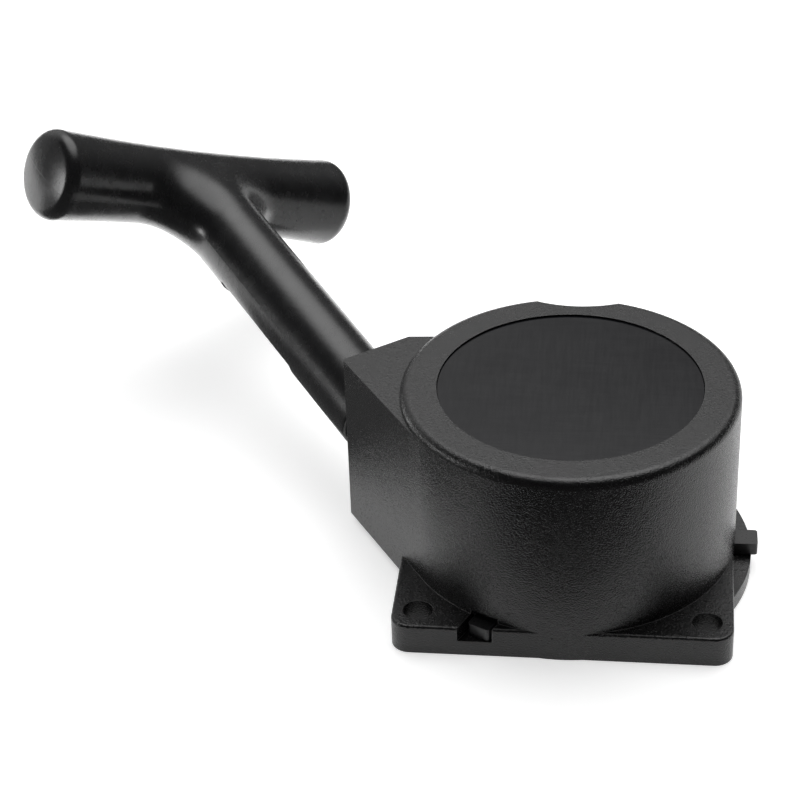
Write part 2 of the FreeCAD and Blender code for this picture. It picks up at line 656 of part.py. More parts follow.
def flare(body):
    """Wide blend from the round stem into the bar, as a loft of ellipses (drop, half width, half depth)."""
    line, radius = DIMS["bar_line"], DIMS["stem_radius"]
    sections = ((-12.0, radius, radius), (-9.5, radius + 0.25, radius - 0.01),
                (-7.5, radius + 1.0, radius - 0.03), (-5.0, radius + 3.7, radius - 0.08),
                (-2.6, radius + 6.5, radius - 0.2))
    sketches = []
    for k, (drop, wide, deep) in enumerate(sections):
        ring = new_sketch(body, "flare_%d" % k, lift=line + drop)
        if wide == deep:
            ring.addGeometry(Part.Circle(FreeCAD.Vector(), FreeCAD.Vector(0, 0, 1), wide), False)
        else:
            shape = Part.Ellipse(FreeCAD.Vector(wide, 0, 0), FreeCAD.Vector(0, deep, 0), FreeCAD.Vector())
            ring.addGeometry(shape, False)
        sketches.append(ring)
    loft = body.newObject("PartDesign::AdditiveLoft", "flare")
    loft.Profile = sketches[0]
    loft.Sections = sketches[1:]
    loft.Ruled = False
    return loft


def make_cap(top):
    """Plug over the knot, its outside flush with the round of the bar."""
    plug = doc.addObject("Part::Cylinder", "cap_plug")
    bind(plug, "Radius", d("knot_room") - 0.02)
    bind(plug, "Height", d("cap_thick") + 1)
    plug.Placement = shifted(number(top) - DIMS["cap_thick"])
    bar = doc.addObject("Part::Cylinder", "cap_round")
    bind(bar, "Radius", d("bar_waist_radius"))
    bind(bar, "Height", d("knot_room") * 2 + 2)
    bar.Placement = FreeCAD.Placement(FreeCAD.Vector(-DIMS["knot_room"] - 1, 0, DIMS["bar_line"]),
                                      FreeCAD.Rotation(FreeCAD.Vector(0, 1, 0), 90))
    cap = doc.addObject("Part::Common", "handle_cap")
    cap.Base, cap.Tool = plug, bar
    cap.Placement = OUTLET
    cap.Label = "Handle cap"
    return cap


def make_handle_fittings():
    low, top = d("handle_gap"), d("bar_line") + d("bar_waist_radius")
    floor = top - d("knot_room_depth")
    ferrule = make_round("handle_ferrule", "Handle ferrule",
                         [(d("ferrule_radius"), low, low + d("ferrule_length") - 0.05)],
                         [(d("eyelet_bore"), low - 1, low + d("ferrule_length") + 1)], OUTLET)
    washer = make_round("handle_washer", "Handle washer", [(d("knot_room") - 0.1, floor + 0.05, floor + 0.8)],
                        [(d("stem_bore"), floor - 1, floor + 2)], OUTLET)
    cap = make_cap(top)
    height = DIMS["bar_line"] + DIMS["bar_waist_radius"] - DIMS["knot_room_depth"] + 0.8 + 2.3
    knot = make_knot("handle_knot", "Handle knot", 2.2, OUTLET.multiply(shifted(height)))
    lead = doc.addObject("Part::Cylinder", "cord_lead")
    bind(lead, "Radius", d("cord_radius"))
    lead.Height = height - 1.9 + DIMS["eyelet_length"]
    lead.Placement = OUTLET.multiply(shifted(-DIMS["eyelet_length"]))
    lead.Label = "Cord lead through the handle"
    return ferrule, washer, cap, knot, lead


def make_all():
    parts = [make_housing()]
    parts.append(make_round("label_disc", "Label disc",
                            [(d("label_radius") - 0.06, d("cup_height") - d("label_depth"),
                              d("cup_height") - d("label_depth") + d("label_thick"))]))
    rim = d("eyelet_rim_thick")
    parts.append(make_round("cord_eyelet", "Cord eyelet",
                            [(d("eyelet_radius"), -d("eyelet_length"), -rim / 2),
                             (d("eyelet_rim"), -rim, Dim(-0.02, "-0.02"))],
                            [(d("eyelet_bore"), -d("eyelet_length") - 1, Dim(1, "1"))], OUTLET))
    parts.append(make_retainer())
    parts.append(make_round("post_sleeve", "Post sleeve",
                            [(d("sleeve_radius"), d("post_end"), d("cavity_height"))],
                            [(d("post_radius"), d("post_end") - 1, d("cavity_height") + 1)]))
    parts.append(make_screw())
    top = d("post_end") - 0.05
    parts.append(make_round("reel_washer", "Reel washer",
                            [(d("washer_radius"), top - d("washer_thick"), top)],
                            [(d("screw_radius") + 0.1, top - 2, top + 1)]))
    shim = d("shim_low")
    parts.append(make_round("spring_shim", "Spring shim",
                            [(d("cavity_radius") - 0.1, shim, shim + d("shim_thick"))],
                            [(d("arbor_radius") + 0.35, shim - 1, shim + 1)]))
    parts += [make_spring(), make_anchor_pin(), make_cord_run()]
    parts += [make_reel(), make_clutch_sleeve(), make_cage(), make_rollers(), make_roller_springs(),
              make_end_rings(), make_windings()]
    knot = math.radians(60)
    reach = DIMS["knot_reach"]
    place = at(reach * math.cos(knot), reach * math.sin(knot), DIMS["groove_high"] + 0.78)
    parts.append(make_knot("reel_knot", "Reel knot", 0.75, place))
    parts.append(make_handle())
    parts += make_handle_fittings()
    return parts


def write_all(parts):
    doc.recompute()
    for item in doc.Objects:
        if "Invalid" in item.State or "Error" in item.State:
            raise RuntimeError("%s did not compute: %s" % (item.Name, item.State))
    os.makedirs("parts", exist_ok=True)
    for part in parts:
        shape = part.Shape
        if shape.isNull() or not shape.isValid() or not shape.Solids:
            raise RuntimeError("bad shape: " + part.Name)
        shape.exportStep("parts/%s.step" % part.Name)
        print("%-22s %9.3f mm3  solids %d" % (part.Name, shape.Volume, len(shape.Solids)))


write_all(make_all())
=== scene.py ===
"""Looks of a small recoil starter: grained nylon housing, glossy T handle, braided cord, metal fittings.

Lengths are in metres, in the CAD model's frame: the flange sits on z = 0 and the reel turns about the z axis.
"""

import json
import math

import bmesh
import bpy
import numpy as np
from mathutils import Matrix, Vector


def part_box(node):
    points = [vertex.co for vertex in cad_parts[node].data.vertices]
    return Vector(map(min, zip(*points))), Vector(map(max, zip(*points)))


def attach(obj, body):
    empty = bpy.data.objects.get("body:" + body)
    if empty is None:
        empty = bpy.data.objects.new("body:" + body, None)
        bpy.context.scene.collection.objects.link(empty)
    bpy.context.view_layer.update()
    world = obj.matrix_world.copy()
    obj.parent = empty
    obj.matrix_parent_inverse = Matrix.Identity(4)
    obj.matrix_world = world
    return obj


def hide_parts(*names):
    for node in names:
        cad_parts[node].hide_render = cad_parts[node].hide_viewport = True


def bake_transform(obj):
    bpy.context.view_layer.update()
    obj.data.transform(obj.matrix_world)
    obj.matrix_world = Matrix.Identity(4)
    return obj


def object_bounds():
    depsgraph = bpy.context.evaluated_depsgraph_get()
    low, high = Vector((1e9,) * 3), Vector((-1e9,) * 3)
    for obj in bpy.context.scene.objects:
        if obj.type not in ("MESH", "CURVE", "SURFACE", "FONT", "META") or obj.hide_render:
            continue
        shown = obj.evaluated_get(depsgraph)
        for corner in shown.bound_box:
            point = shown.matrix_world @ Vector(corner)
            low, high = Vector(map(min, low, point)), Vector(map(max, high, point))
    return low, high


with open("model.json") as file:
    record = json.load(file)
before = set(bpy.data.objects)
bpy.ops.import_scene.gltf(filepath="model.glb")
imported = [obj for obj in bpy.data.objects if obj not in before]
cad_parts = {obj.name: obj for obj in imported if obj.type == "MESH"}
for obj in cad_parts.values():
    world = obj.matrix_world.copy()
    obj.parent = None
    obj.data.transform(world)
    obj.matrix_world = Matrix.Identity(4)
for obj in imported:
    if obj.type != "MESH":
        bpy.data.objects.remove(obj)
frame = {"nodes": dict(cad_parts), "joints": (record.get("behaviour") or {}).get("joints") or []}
cad_low, cad_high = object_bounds()
MM = 0.001

# ---------------------------------------------------------------- directions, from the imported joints
JOINTS = {joint["name"]: joint for joint in frame["joints"]}
LINE = Vector(JOINTS["handle_pull"]["axis"]).normalized()      # the cord leaves the housing along this line
SEAT = Vector(JOINTS["handle_twist"]["pos_m"])                 # where that line meets the outlet boss
PULL = JOINTS["handle_pull"]["range_m"][1]                     # how far the handle can be pulled
BAR_ROLL = math.radians(24.8)                                  # the CAD cross bar's turn about the line
LEVEL = LINE.cross(Vector((0, 0, 1))).normalized()
BAR = LEVEL * math.cos(BAR_ROLL) + LINE.cross(LEVEL) * math.sin(BAR_ROLL)
SIDE = LINE.cross(BAR)
# turns a point drawn with the cross bar as x and the cord's line as z
HANDLE_TURN = Matrix((BAR, SIDE, LINE)).transposed()


# ---------------------------------------------------------------- helpers
class Nodes:
    """The node tree of a material or the world, with short calls for its nodes."""

    def __init__(self, owner):
        owner.use_nodes = True
        self.tree = owner.node_tree
        self.tree.nodes.clear()

    def add(self, kind, sockets=None, **settings):
        node = self.tree.nodes.new(kind)
        for key, value in settings.items():
            setattr(node, key, value)
        for key, value in (sockets or {}).items():
            self.feed(node.inputs[key], value)
        return node

    def feed(self, socket, value):
        if isinstance(value, bpy.types.NodeSocket):
            self.tree.links.new(value, socket)
        else:
            socket.default_value = value

    def remap(self, value, low, high, to_low, to_high, interpolation="LINEAR"):
        sockets = {0: value, 1: low, 2: high, 3: to_low, 4: to_high}
        return self.add("ShaderNodeMapRange", sockets, interpolation_type=interpolation).outputs[0]

    def maths(self, operation, *values):
        return self.add("ShaderNodeMath", dict(enumerate(values)), operation=operation).outputs[0]

    def dot(self, one, two):
        return self.add("ShaderNodeVectorMath", {0: one, 1: two}, operation="DOT_PRODUCT").outputs["Value"]


class Shader(Nodes):
    """A material with a Principled shader."""

    def __init__(self, name, **sockets):
        self.material = bpy.data.materials.new(name)
        super().__init__(self.material)
        self.surface = self.add("ShaderNodeBsdfPrincipled")
        self.set(**sockets)
        self.output = self.add("ShaderNodeOutputMaterial", {"Surface": self.surface.outputs[0]})
        self.place = self.add("ShaderNodeTexCoord").outputs["Object"]

    def noise(self, size, detail=2.0, rough=0.5, place=None):
        """Noise whose features are about size metres across."""
        sockets = {"Vector": place or self.place, "Scale": 1.0 / size, "Detail": detail, "Roughness": rough}
        return self.add("ShaderNodeTexNoise", sockets).outputs["Fac"]

    def spread(self, noise, low=0.0, high=1.0):
        """Noise, which mostly stays between 0.3 and 0.7, drawn out to run from low to high."""
        return self.remap(noise, 0.3, 0.7, low, high)

    def stretched(self, scale, turn=(0, 0, 0)):
        """The object's coordinates, scaled along its axes."""
        sockets = {"Vector": self.place, "Scale": scale, "Rotation": turn}
        return self.add("ShaderNodeMapping", sockets).outputs["Vector"]

    def blend(self, share, one, two):
        """One colour at a share of 0, the other at 1."""
        return self.add("ShaderNodeMix", {"Factor": share, 6: one, 7: two}, data_type="RGBA").outputs[2]

    def soft_edges(self, radius):
        """Normal that rounds every edge by the radius."""
        return self.add("ShaderNodeBevel", {"Radius": radius}, samples=6).outputs["Normal"]

    def edge_mask(self, rounded, strength):
        """About 1 on sharp edges and 0 on open faces."""
        flat = self.add("ShaderNodeNewGeometry").outputs["Normal"]
        return self.remap(self.dot(rounded, flat), 1.0 - strength, 1.0, 1.0, 0.0)

    def bump(self, height, depth, normal=None):
        sockets = {"Height": height, "Distance": depth}
        if normal is not None:
            sockets["Normal"] = normal
        return self.add("ShaderNodeBump", sockets).outputs["Normal"]

    def set(self, **sockets):
        for name, value in sockets.items():
            self.feed(self.surface.inputs[name.replace("_", " ")], value)


def grey(value, tint=0.0):
    """Grey colour, with its blue raised by the tint."""
    return (value, value, value * (1.0 + tint), 1.0)


def link(name, mesh, material):
    """New object with the mesh and its one material."""
    piece = bpy.data.objects.new(name, mesh)
    bpy.context.scene.collection.objects.link(piece)
    mesh.materials.clear()
    mesh.materials.append(material)
    return piece


# ---------------------------------------------------------------- materials
def housing_nylon():
    """Glass-filled nylon with a spark-eroded grain, edges polished a little by handling, and a painted
    highlight: every edge lighter in colour.
    """
    look = Shader("housing_nylon", IOR=1.5)
    rounded = look.soft_edges(0.12 * MM)
    sharp_edges = look.edge_mask(rounded, 0.08)
    grain = look.noise(0.17 * MM, detail=1.0)
    coarse = look.noise(0.9 * MM, detail=1.0)
    fine = look.noise(0.11 * MM, detail=0.0)
    patches = look.noise(9 * MM, detail=3.0)
    specks = look.remap(look.noise(0.3 * MM, detail=0.0), 0.62, 0.74, 0.0, 1.0)
    colour = look.blend(look.spread(patches), grey(0.004, 0.05), grey(0.006, 0.03))
    colour = look.blend(look.maths("MULTIPLY", specks, 0.3), colour, grey(0.02))
    # painted highlight: a lighter colour along every edge stands in for the light that the edges catch
    colour = look.blend(look.maths("MULTIPLY", sharp_edges, 0.7), colour, grey(0.1))
    rough = look.spread(grain, 0.18, 0.28)
    rough = look.maths("ADD", rough, look.spread(patches, -0.02, 0.03))
    rough = look.maths("SUBTRACT", rough, look.maths("MULTIPLY", sharp_edges, 0.08))
    normal = look.bump(grain, 0.05 * MM, look.bump(coarse, 0.015 * MM, rounded))
    normal = look.bump(fine, 0.025 * MM, normal)
    look.set(Base_Color=colour, Roughness=rough, Normal=normal)
    return look.material


def retainer_nylon():
    """The same nylon from a smoother tool."""
    look = Shader("retainer_nylon", IOR=1.5)
    rounded = look.soft_edges(0.1 * MM)
    sharp_edges = look.edge_mask(rounded, 0.08)
    grain = look.noise(0.3 * MM, detail=2.0)
    colour = look.blend(look.spread(grain), grey(0.009, 0.05), grey(0.014, 0.03))
    colour = look.blend(look.maths("MULTIPLY", sharp_edges, 0.5), colour, grey(0.035))
    look.set(Base_Color=colour, Roughness=look.spread(grain, 0.26, 0.4),
             Normal=look.bump(grain, 0.008 * MM, rounded))
    return look.material


def handle_plastic():
    """Smooth moulded plastic: faint flow marks, rubbed patches and a parting line round the handle."""
    look = Shader("handle_plastic", IOR=1.5)
    flow = look.noise(2.2 * MM, detail=3.0, rough=0.6)
    fine = look.noise(0.35 * MM, detail=2.0)
    dust = look.remap(look.noise(0.25 * MM, detail=0.0), 0.7, 0.76, 0.0, 1.0)
    colour = look.blend(look.spread(flow), grey(0.0075, 0.06), grey(0.011, 0.04))
    colour = look.blend(look.maths("MULTIPLY", dust, 0.08), colour, grey(0.03))
    scuffs = look.noise(1.0, detail=3.0, place=look.stretched((2500, 500, 900), (0.3, 0.5, 0.9)))
    rough = look.spread(flow, 0.23, 0.29)
    rough = look.maths("ADD", rough, look.remap(scuffs, 0.55, 0.75, 0.0, 0.04))
    offset = look.add("ShaderNodeVectorMath", {0: look.place, 1: SEAT}, operation="SUBTRACT")
    across = look.dot(offset.outputs["Vector"], SIDE)
    seam = look.remap(look.maths("ABSOLUTE", across), 0.0, 0.08 * MM, 1.0, 0.0)
    normal = look.bump(flow, 0.02 * MM)
    normal = look.bump(fine, 0.003 * MM, normal)
    normal = look.bump(seam, 0.005 * MM, normal)
    look.set(Base_Color=colour, Roughness=rough, Normal=normal)
    return look.material


def label_black():
    """Plain smooth disc, with the faint cross weave of its film."""
    look = Shader("label_black", IOR=1.42)
    rounded = look.soft_edges(0.06 * MM)
    along = look.noise(1.0, detail=2.0, place=look.stretched((250, 4200, 4200)))
    across = look.noise(1.0, detail=2.0, place=look.stretched((4200, 250, 4200)))
    film = look.maths("MULTIPLY", look.maths("ADD", along, across), 0.5)
    patches = look.noise(5 * MM, detail=2.0)
    colour = look.blend(look.remap(film, 0.4, 0.6, 0, 1), grey(0.005, 0.3), grey(0.008, 0.2))
    rough = look.spread(patches, 0.11, 0.15)
    rough = look.maths("ADD", rough, look.remap(film, 0.4, 0.6, -0.02, 0.02))
    look.set(Base_Color=colour, Roughness=rough, Normal=look.bump(film, 0.006 * MM, rounded))
    return look.material


def reel_nylon():
    """Dark grey nylon with faint turned rings."""
    look = Shader("reel_nylon", IOR=1.5)
    rounded = look.soft_edges(0.12 * MM)
    sharp_edges = look.edge_mask(rounded, 0.08)
    grain = look.noise(0.3 * MM, detail=3.0)
    patches = look.noise(4 * MM, detail=3.0)
    rings = look.noise(1.0, detail=2.0, place=look.stretched((120, 120, 2600)))
    colour = look.blend(look.spread(patches), grey(0.022, 0.06), grey(0.032, 0.04))
    colour = look.blend(look.maths("MULTIPLY", sharp_edges, 0.5), colour, grey(0.07))
    rough = look.spread(grain, 0.36, 0.5)
    normal = look.bump(rings, 0.006 * MM, look.bump(grain, 0.01 * MM, rounded))
    look.set(Base_Color=colour, Roughness=rough, Normal=normal)
    return look.material


def cage_plastic():
    """Natural, slightly see-through nylon of the roller cage."""
    look = Shader("cage_plastic", IOR=1.5, Subsurface_Weight=0.25, Subsurface_Scale=0.6 * MM)
    rounded = look.soft_edges(0.08 * MM)
    patches = look.noise(1.6 * MM, detail=3.0)
    grain = look.noise(0.25 * MM, detail=2.0)
    colour = look.blend(look.spread(patches), (0.56, 0.5, 0.38, 1), (0.66, 0.61, 0.5, 1))
    look.set(Base_Color=colour, Roughness=look.spread(grain, 0.3, 0.45),
             Normal=look.bump(grain, 0.006 * MM, rounded))
    return look.material


def cord_black():
    """Braided polyamide yarn: fine filaments along the strands and a few worn, paler ones."""
    look = Shader("cord_black", IOR=1.5, Sheen_Weight=0.25, Sheen_Roughness=0.4)
    strands = look.add("ShaderNodeUVMap", uv_map="strands").outputs["UV"]
    sockets = {"Vector": strands, "Scale": (26.0, 5.0, 1.0)}
    filaments = look.noise(1.0, detail=3.0, place=look.add("ShaderNodeMapping", sockets).outputs["Vector"])
    tufts = look.noise(0.5 * MM, detail=3.0)
    colour = look.blend(look.remap(filaments, 0.35, 0.7, 0, 1), grey(0.012, 0.08), grey(0.04, 0.05))
    colour = look.blend(look.remap(tufts, 0.62, 0.75, 0, 0.5), colour, grey(0.09))
    normal = look.bump(tufts, 0.02 * MM, look.bump(filaments, 0.03 * MM))
    look.set(Base_Color=colour, Roughness=look.spread(filaments, 0.75, 0.55), Normal=normal)
    return look.material


def metal(name, light, dark, rough, grain, depth):
    """Machined or rolled metal: stretched tool marks, stains and bright edges."""
    look = Shader(name, Metallic=1.0)
    rounded = look.soft_edges(0.06 * MM)
    sharp_edges = look.edge_mask(rounded, 0.06)
    marks = look.noise(1.0, detail=3.0, place=look.stretched(grain))
    stains = look.noise(1.4 * MM, detail=4.0, rough=0.6)
    colour = look.blend(look.spread(stains), light, dark)
    colour = look.blend(look.maths("MULTIPLY", sharp_edges, 0.6), colour, tuple(min(1.0, c * 1.25) for c in light))
    finish = look.spread(marks, rough - 0.06, rough + 0.08)
    finish = look.maths("ADD", finish, look.remap(stains, 0.4, 0.7, 0.0, 0.1))
    look.set(Base_Color=colour, Roughness=finish, Normal=look.bump(marks, depth, rounded))
    return look.material


def make_materials():
    return {
        "housing_nylon": housing_nylon(),
        "retainer_nylon": retainer_nylon(),
        "handle_plastic": handle_plastic(),
        "label_black": label_black(),
        "reel_nylon": reel_nylon(),
        "cage_plastic": cage_plastic(),
        "cord_black": cord_black(),
        "eyelet_brass": metal("eyelet_brass", light=(0.78, 0.58, 0.27, 1), dark=(0.58, 0.4, 0.17, 1),
                              rough=0.22, grain=(300, 300, 6000), depth=0.003 * MM),
        "zinc_steel": metal("zinc_steel", light=(0.66, 0.67, 0.68, 1), dark=(0.46, 0.47, 0.5, 1),
                            rough=0.3, grain=(900, 900, 900), depth=0.003 * MM),
        "spring_steel": metal("spring_steel", light=(0.3, 0.32, 0.36, 1), dark=(0.17, 0.19, 0.24, 1),
                              rough=0.28, grain=(250, 250, 5000), depth=0.002 * MM),
        "clutch_steel": metal("clutch_steel", light=(0.56, 0.56, 0.57, 1), dark=(0.42, 0.42, 0.43, 1),
                              rough=0.24, grain=(3500, 3500, 300), depth=0.002 * MM),
    }


def finish_cad_nodes(looks):
    """Gives every CAD node that no piece replaces its own material."""
    kinds = {
        "housing_nylon": ["housing"], "retainer_nylon": ["retainer_plate"], "label_black": ["label_disc"],
        "eyelet_brass": ["cord_eyelet", "post_sleeve"],
        "reel_nylon": ["reel"], "cage_plastic": ["clutch_cage"],
        "zinc_steel": ["reel_screw", "reel_washer", "spring_anchor_pin", "handle_ferrule", "handle_washer"],
        "spring_steel": ["spring_shim", "recoil_spring", "clutch_leaf_springs"],
        "clutch_steel": ["clutch_sleeve", "clutch_rollers", "clutch_end_rings"],
        "handle_plastic": ["handle_cap"],
    }
    for kind, names in kinds.items():
        for name in names:
            node = frame["nodes"][name]
            for slot in node.material_slots:
                slot.material = looks[kind]


# ---------------------------------------------------------------- handle
def evaluated(piece):
    """The piece's mesh with its modifiers applied."""
    graph = bpy.context.evaluated_depsgraph_get()
    return bpy.data.meshes.new_from_object(piece.evaluated_get(graph))


# T handle in mm: z runs up the stem from the housing, x along the cross bar, y to the thumb's side
BAR_LINE, BAR_HALF = 45.3, 22.3                # height of the bar's line, half the bar's length
BAR_END, BAR_WAIST, STEM = 5.55, 4.7, 4.55     # radii
BAR_DOME, BAR_EDGE = 0.8, 1.2                  # crown and rounding of the bar's ends
STEM_END, MOUTH_EDGE = 0.2, 0.4                # the stem's lower end and its rounding
FLARE_UP, FLARE_OUT = 7.0, 5.5                 # where the blend leaves the stem and the bar
SWELL_LOW, SWELL_HIGH = 11.0, 5.0              # below the bar's line: the stem takes on the bar's radius
THUMB_LOW, THUMB_HIGH = 13.05, 29.45           # ends of the sunk panel for the thumb
THUMB_DEPTH, THUMB_STEP = 0.3, 0.25            # its depth, and half the length of its end slopes
THUMB_SIDES = 0.6, 0.68                        # its long sides' slopes, as y over the distance from the axis
FERRULE_ROOM, FERRULE_TOP = 2.42, 6.2          # radius and top of the ferrule's seat
KNOT_ROOM, KNOT_FLOOR = 2.6, 40.3              # radius and floor of the knot's room
CORD_BORE = 1.3


def rounded_limit(one, two, edge):
    """Both distances at once, with the corner between them rounded."""
    outside = np.hypot(np.maximum(one + edge, 0), np.maximum(two + edge, 0))
    return np.minimum(np.maximum(one + edge, two + edge), 0) + outside - edge


def ease(value, start, end):
    """Runs smoothly from 0 at start to 1 at end."""
    share = np.clip((value - start) / (end - start), 0, 1)
    return share * share * (3 - 2 * share)


def flared(to_bar, to_stem):
    """Distance from the T's lines, with an elliptical blend in each inner corner."""
    up, out = 1 - to_bar / FLARE_UP, 1 - to_stem / FLARE_OUT
    square = FLARE_UP ** -2 + FLARE_OUT ** -2
    slope = up / FLARE_UP + out / FLARE_OUT
    root = np.sqrt(np.maximum(slope ** 2 - square * (up ** 2 + out ** 2 - 1), 0))
    corner = np.maximum((root - slope) / square, 0)
    near_stem = to_bar - to_stem >= FLARE_UP
    near_bar = to_stem - to_bar >= FLARE_OUT
    return np.where(near_stem, to_stem, np.where(near_bar, to_bar, corner))


def handle_distance(points):
    """Distance from the handle's skin, negative inside: a tube round a T with blended inner corners."""
    x, y, z = points.T
    to_bar, to_stem = np.abs(z - BAR_LINE), np.abs(x)
    to_line = np.where(z < BAR_LINE, flared(to_bar, to_stem), to_bar)
    reach = np.hypot(to_line, y)
    bore = np.hypot(x, y)
    bar_radius = BAR_WAIST + (BAR_END - BAR_WAIST) * (x / BAR_HALF) ** 2
    radius = STEM + (bar_radius - STEM) * ease(BAR_LINE - z, SWELL_LOW, SWELL_HIGH)
    panel = ease(z, THUMB_LOW - THUMB_STEP, THUMB_LOW + THUMB_STEP)
    panel = panel * ease(z, THUMB_HIGH + THUMB_STEP, THUMB_HIGH - THUMB_STEP)
    not_zero = 0.001
    panel = panel * ease(y / (bore + not_zero), *THUMB_SIDES)
    radius = radius - THUMB_DEPTH * panel
    ends = np.abs(x) - BAR_HALF + BAR_DOME * np.minimum(reach / radius, 1) ** 2
    skin = rounded_limit(reach - radius, ends, BAR_EDGE)
    skin = rounded_limit(skin, STEM_END - z, MOUTH_EDGE)
    seat = np.maximum(bore - FERRULE_ROOM, z - FERRULE_TOP)
    room = np.maximum(bore - KNOT_ROOM, KNOT_FLOOR - z)
    return np.maximum(skin, -np.minimum(np.minimum(seat, room), bore - CORD_BORE))


def drawn_to_skin(points):
    """The points moved along the distance's slope onto the skin, in a few short steps."""
    nudge, longest_step, least_steep = 0.02, 0.6, 0.25
    for _ in range(6):
        value = handle_distance(points)
        slope = np.stack([(handle_distance(points + nudge * axis) - handle_distance(points - nudge * axis))
                          / (2 * nudge) for axis in np.eye(3)], axis=1)
        steep = np.maximum((slope ** 2).sum(axis=1), least_steep)
        points = points - np.clip(value / steep, -longest_step, longest_step)[:, None] * slope
    return points


def make_handle(looks):
    """The T handle as one moulded skin, with soft corners where the stem runs into the bar."""
    rough = link("handle_rough", frame["nodes"]["handle"].data.copy(), looks["handle_plastic"])
    weld = rough.modifiers.new("weld", "WELD")
    weld.merge_threshold = 0.002 * MM
    skin = rough.modifiers.new("skin", "REMESH")
    skin.mode = "VOXEL"
    skin.voxel_size = 0.25 * MM
    smooth = rough.modifiers.new("smooth", "SMOOTH")
    smooth.factor = 0.5
    smooth.iterations = 4
    mesh = evaluated(rough)
    bpy.data.objects.remove(rough)
    places = np.empty(len(mesh.vertices) * 3)
    mesh.vertices.foreach_get("co", places)
    turn = np.array(HANDLE_TURN)
    local = (places.reshape(-1, 3) - np.array(SEAT)) @ turn / MM
    local = drawn_to_skin(local)
    mesh.vertices.foreach_set("co", (local * MM @ turn.T + np.array(SEAT)).ravel())
    handle = link("handle_moulding", mesh, looks["handle_plastic"])
    mesh.shade_smooth()
    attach(handle, "handle")
    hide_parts("handle")


# ---------------------------------------------------------------- cord
CORD_RADIUS = 0.8 * MM
BRAID_PITCH = 3.2 * MM      # length after which the braid's pattern repeats
BRAID_RELIEF = 0.12         # depth of the gaps between strands, as a share of the radius
BRAID_FULLNESS = 0.6        # below 1 the strands are wider than the gaps


def braid_height(angle, length):
    """0 between the strands to 1 on top of them, for a round braid of eight strands."""
    turn = math.tau * length / BRAID_PITCH
    return np.abs(np.cos(2 * angle + turn / 2) * np.cos(2 * angle - turn / 2)) ** BRAID_FULLNESS


def braided_tube(name, points, lengths, radius, looks, sides=20):
    """Tube along the points, with a braided surface; lengths are how much cord lies before each point."""
    points = np.asarray(points, float)
    along = np.gradient(points, axis=0)
    along /= np.linalg.norm(along, axis=1)[:, None]
    normals = [np.array(Vector(along[0]).orthogonal().normalized())]
    for direction in along[1:]:
        turned = normals[-1] - direction * (normals[-1] @ direction)
        normals.append(turned / np.linalg.norm(turned))
    normals = np.array(normals)
    binormals = np.cross(along, normals)
    angles = np.arange(sides) * math.tau / sides
    height = braid_height(angles[None, :], np.asarray(lengths)[:, None])
    reach = radius * (1 - BRAID_RELIEF + BRAID_RELIEF * height)
    cosines, sines = np.cos(angles)[None, :, None], np.sin(angles)[None, :, None]
    rings = points[:, None, :] + reach[..., None] * (
        normals[:, None, :] * cosines + binormals[:, None, :] * sines)
    last_ring = (len(points) - 1) * sides
    mesh = bpy.data.meshes.new(name)
    quads = []
    for ring in range(0, last_ring, sides):
        for k in range(sides):
            beside = (k + 1) % sides
            quads.append((ring + k, ring + sides + k, ring + sides + beside, ring + beside))
    ends = [tuple(range(sides)), tuple(last_ring + k for k in reversed(range(sides)))]
    mesh.from_pydata(rings.reshape(-1, 3).tolist(), [], [tuple(reversed(q)) for q in quads] + ends)
    layer = mesh.uv_layers.new(name="strands")
    for polygon in mesh.polygons:
        for corner, vertex in zip(polygon.loop_indices, polygon.vertices):
            ring, side = divmod(vertex, sides)
            layer.data[corner].uv = (side / sides, lengths[ring] / BRAID_PITCH)
    mesh.shade_smooth()
    shell = bmesh.new()
    shell.from_mesh(mesh)
    bmesh.ops.recalc_face_normals(shell, faces=shell.faces)
    shell.to_mesh(mesh)
    shell.free()
    piece = link(name, mesh, looks["cord_black"])
    return piece


def inverse_smoothstep(share):
    """x for which 3x^2 - 2x^3 is the share."""
    return 0.5 - math.sin(math.asin(1.0 - 2.0 * share) / 3.0)


def lead_start():
    """Where the lead starts along the cord's line, behind the seat."""
    return min((v.co - SEAT).dot(LINE) for v in frame["nodes"]["cord_lead"].data.vertices)


def make_pull_cord(looks):
    """The cord from inside the eyelet to its knot in the handle.

    At rest the length that can be pulled is gathered between eyelet and ferrule, its braid laid out as if
    that length were drawn out evenly.
    """
    start, end = -1.0 * MM, 3.0 * MM      # where the gathered cord lies along the line, from the seat
    inner = lead_start()
    ring_gap = 0.42 * MM
    rings = int(PULL / ring_gap)
    depths = [inner, (inner + start) / 2]
    lengths = [inner, (inner + start) / 2]
    for k in range(rings + 1):
        share = k / rings
        depths.append(start + (end - start) * inverse_smoothstep(share))
        lengths.append(depths[-1] + PULL * share)
    points = [SEAT + LINE * depth for depth in depths]
    drawn = braided_tube("pull_cord", points, lengths, CORD_RADIUS, looks, sides=16)
    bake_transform(drawn)
    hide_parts("cord_lead")

    low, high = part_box("handle_knot")
    knot_centre = (low + high) / 2
    tail_end = (knot_centre - SEAT).dot(LINE) - 1.6 * MM
    count = 96
    depths = [end + (tail_end - end) * k / (count - 1) for k in range(count)]
    tail = braided_tube("handle_cord", [SEAT + LINE * depth for depth in depths], depths, CORD_RADIUS, looks)
    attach(tail, "cord")
    make_knot("handle_knot_tied", "handle_knot", "cord", knot_centre, LINE, looks,
              radius=1.36 * MM, cord_radius=0.66 * MM)


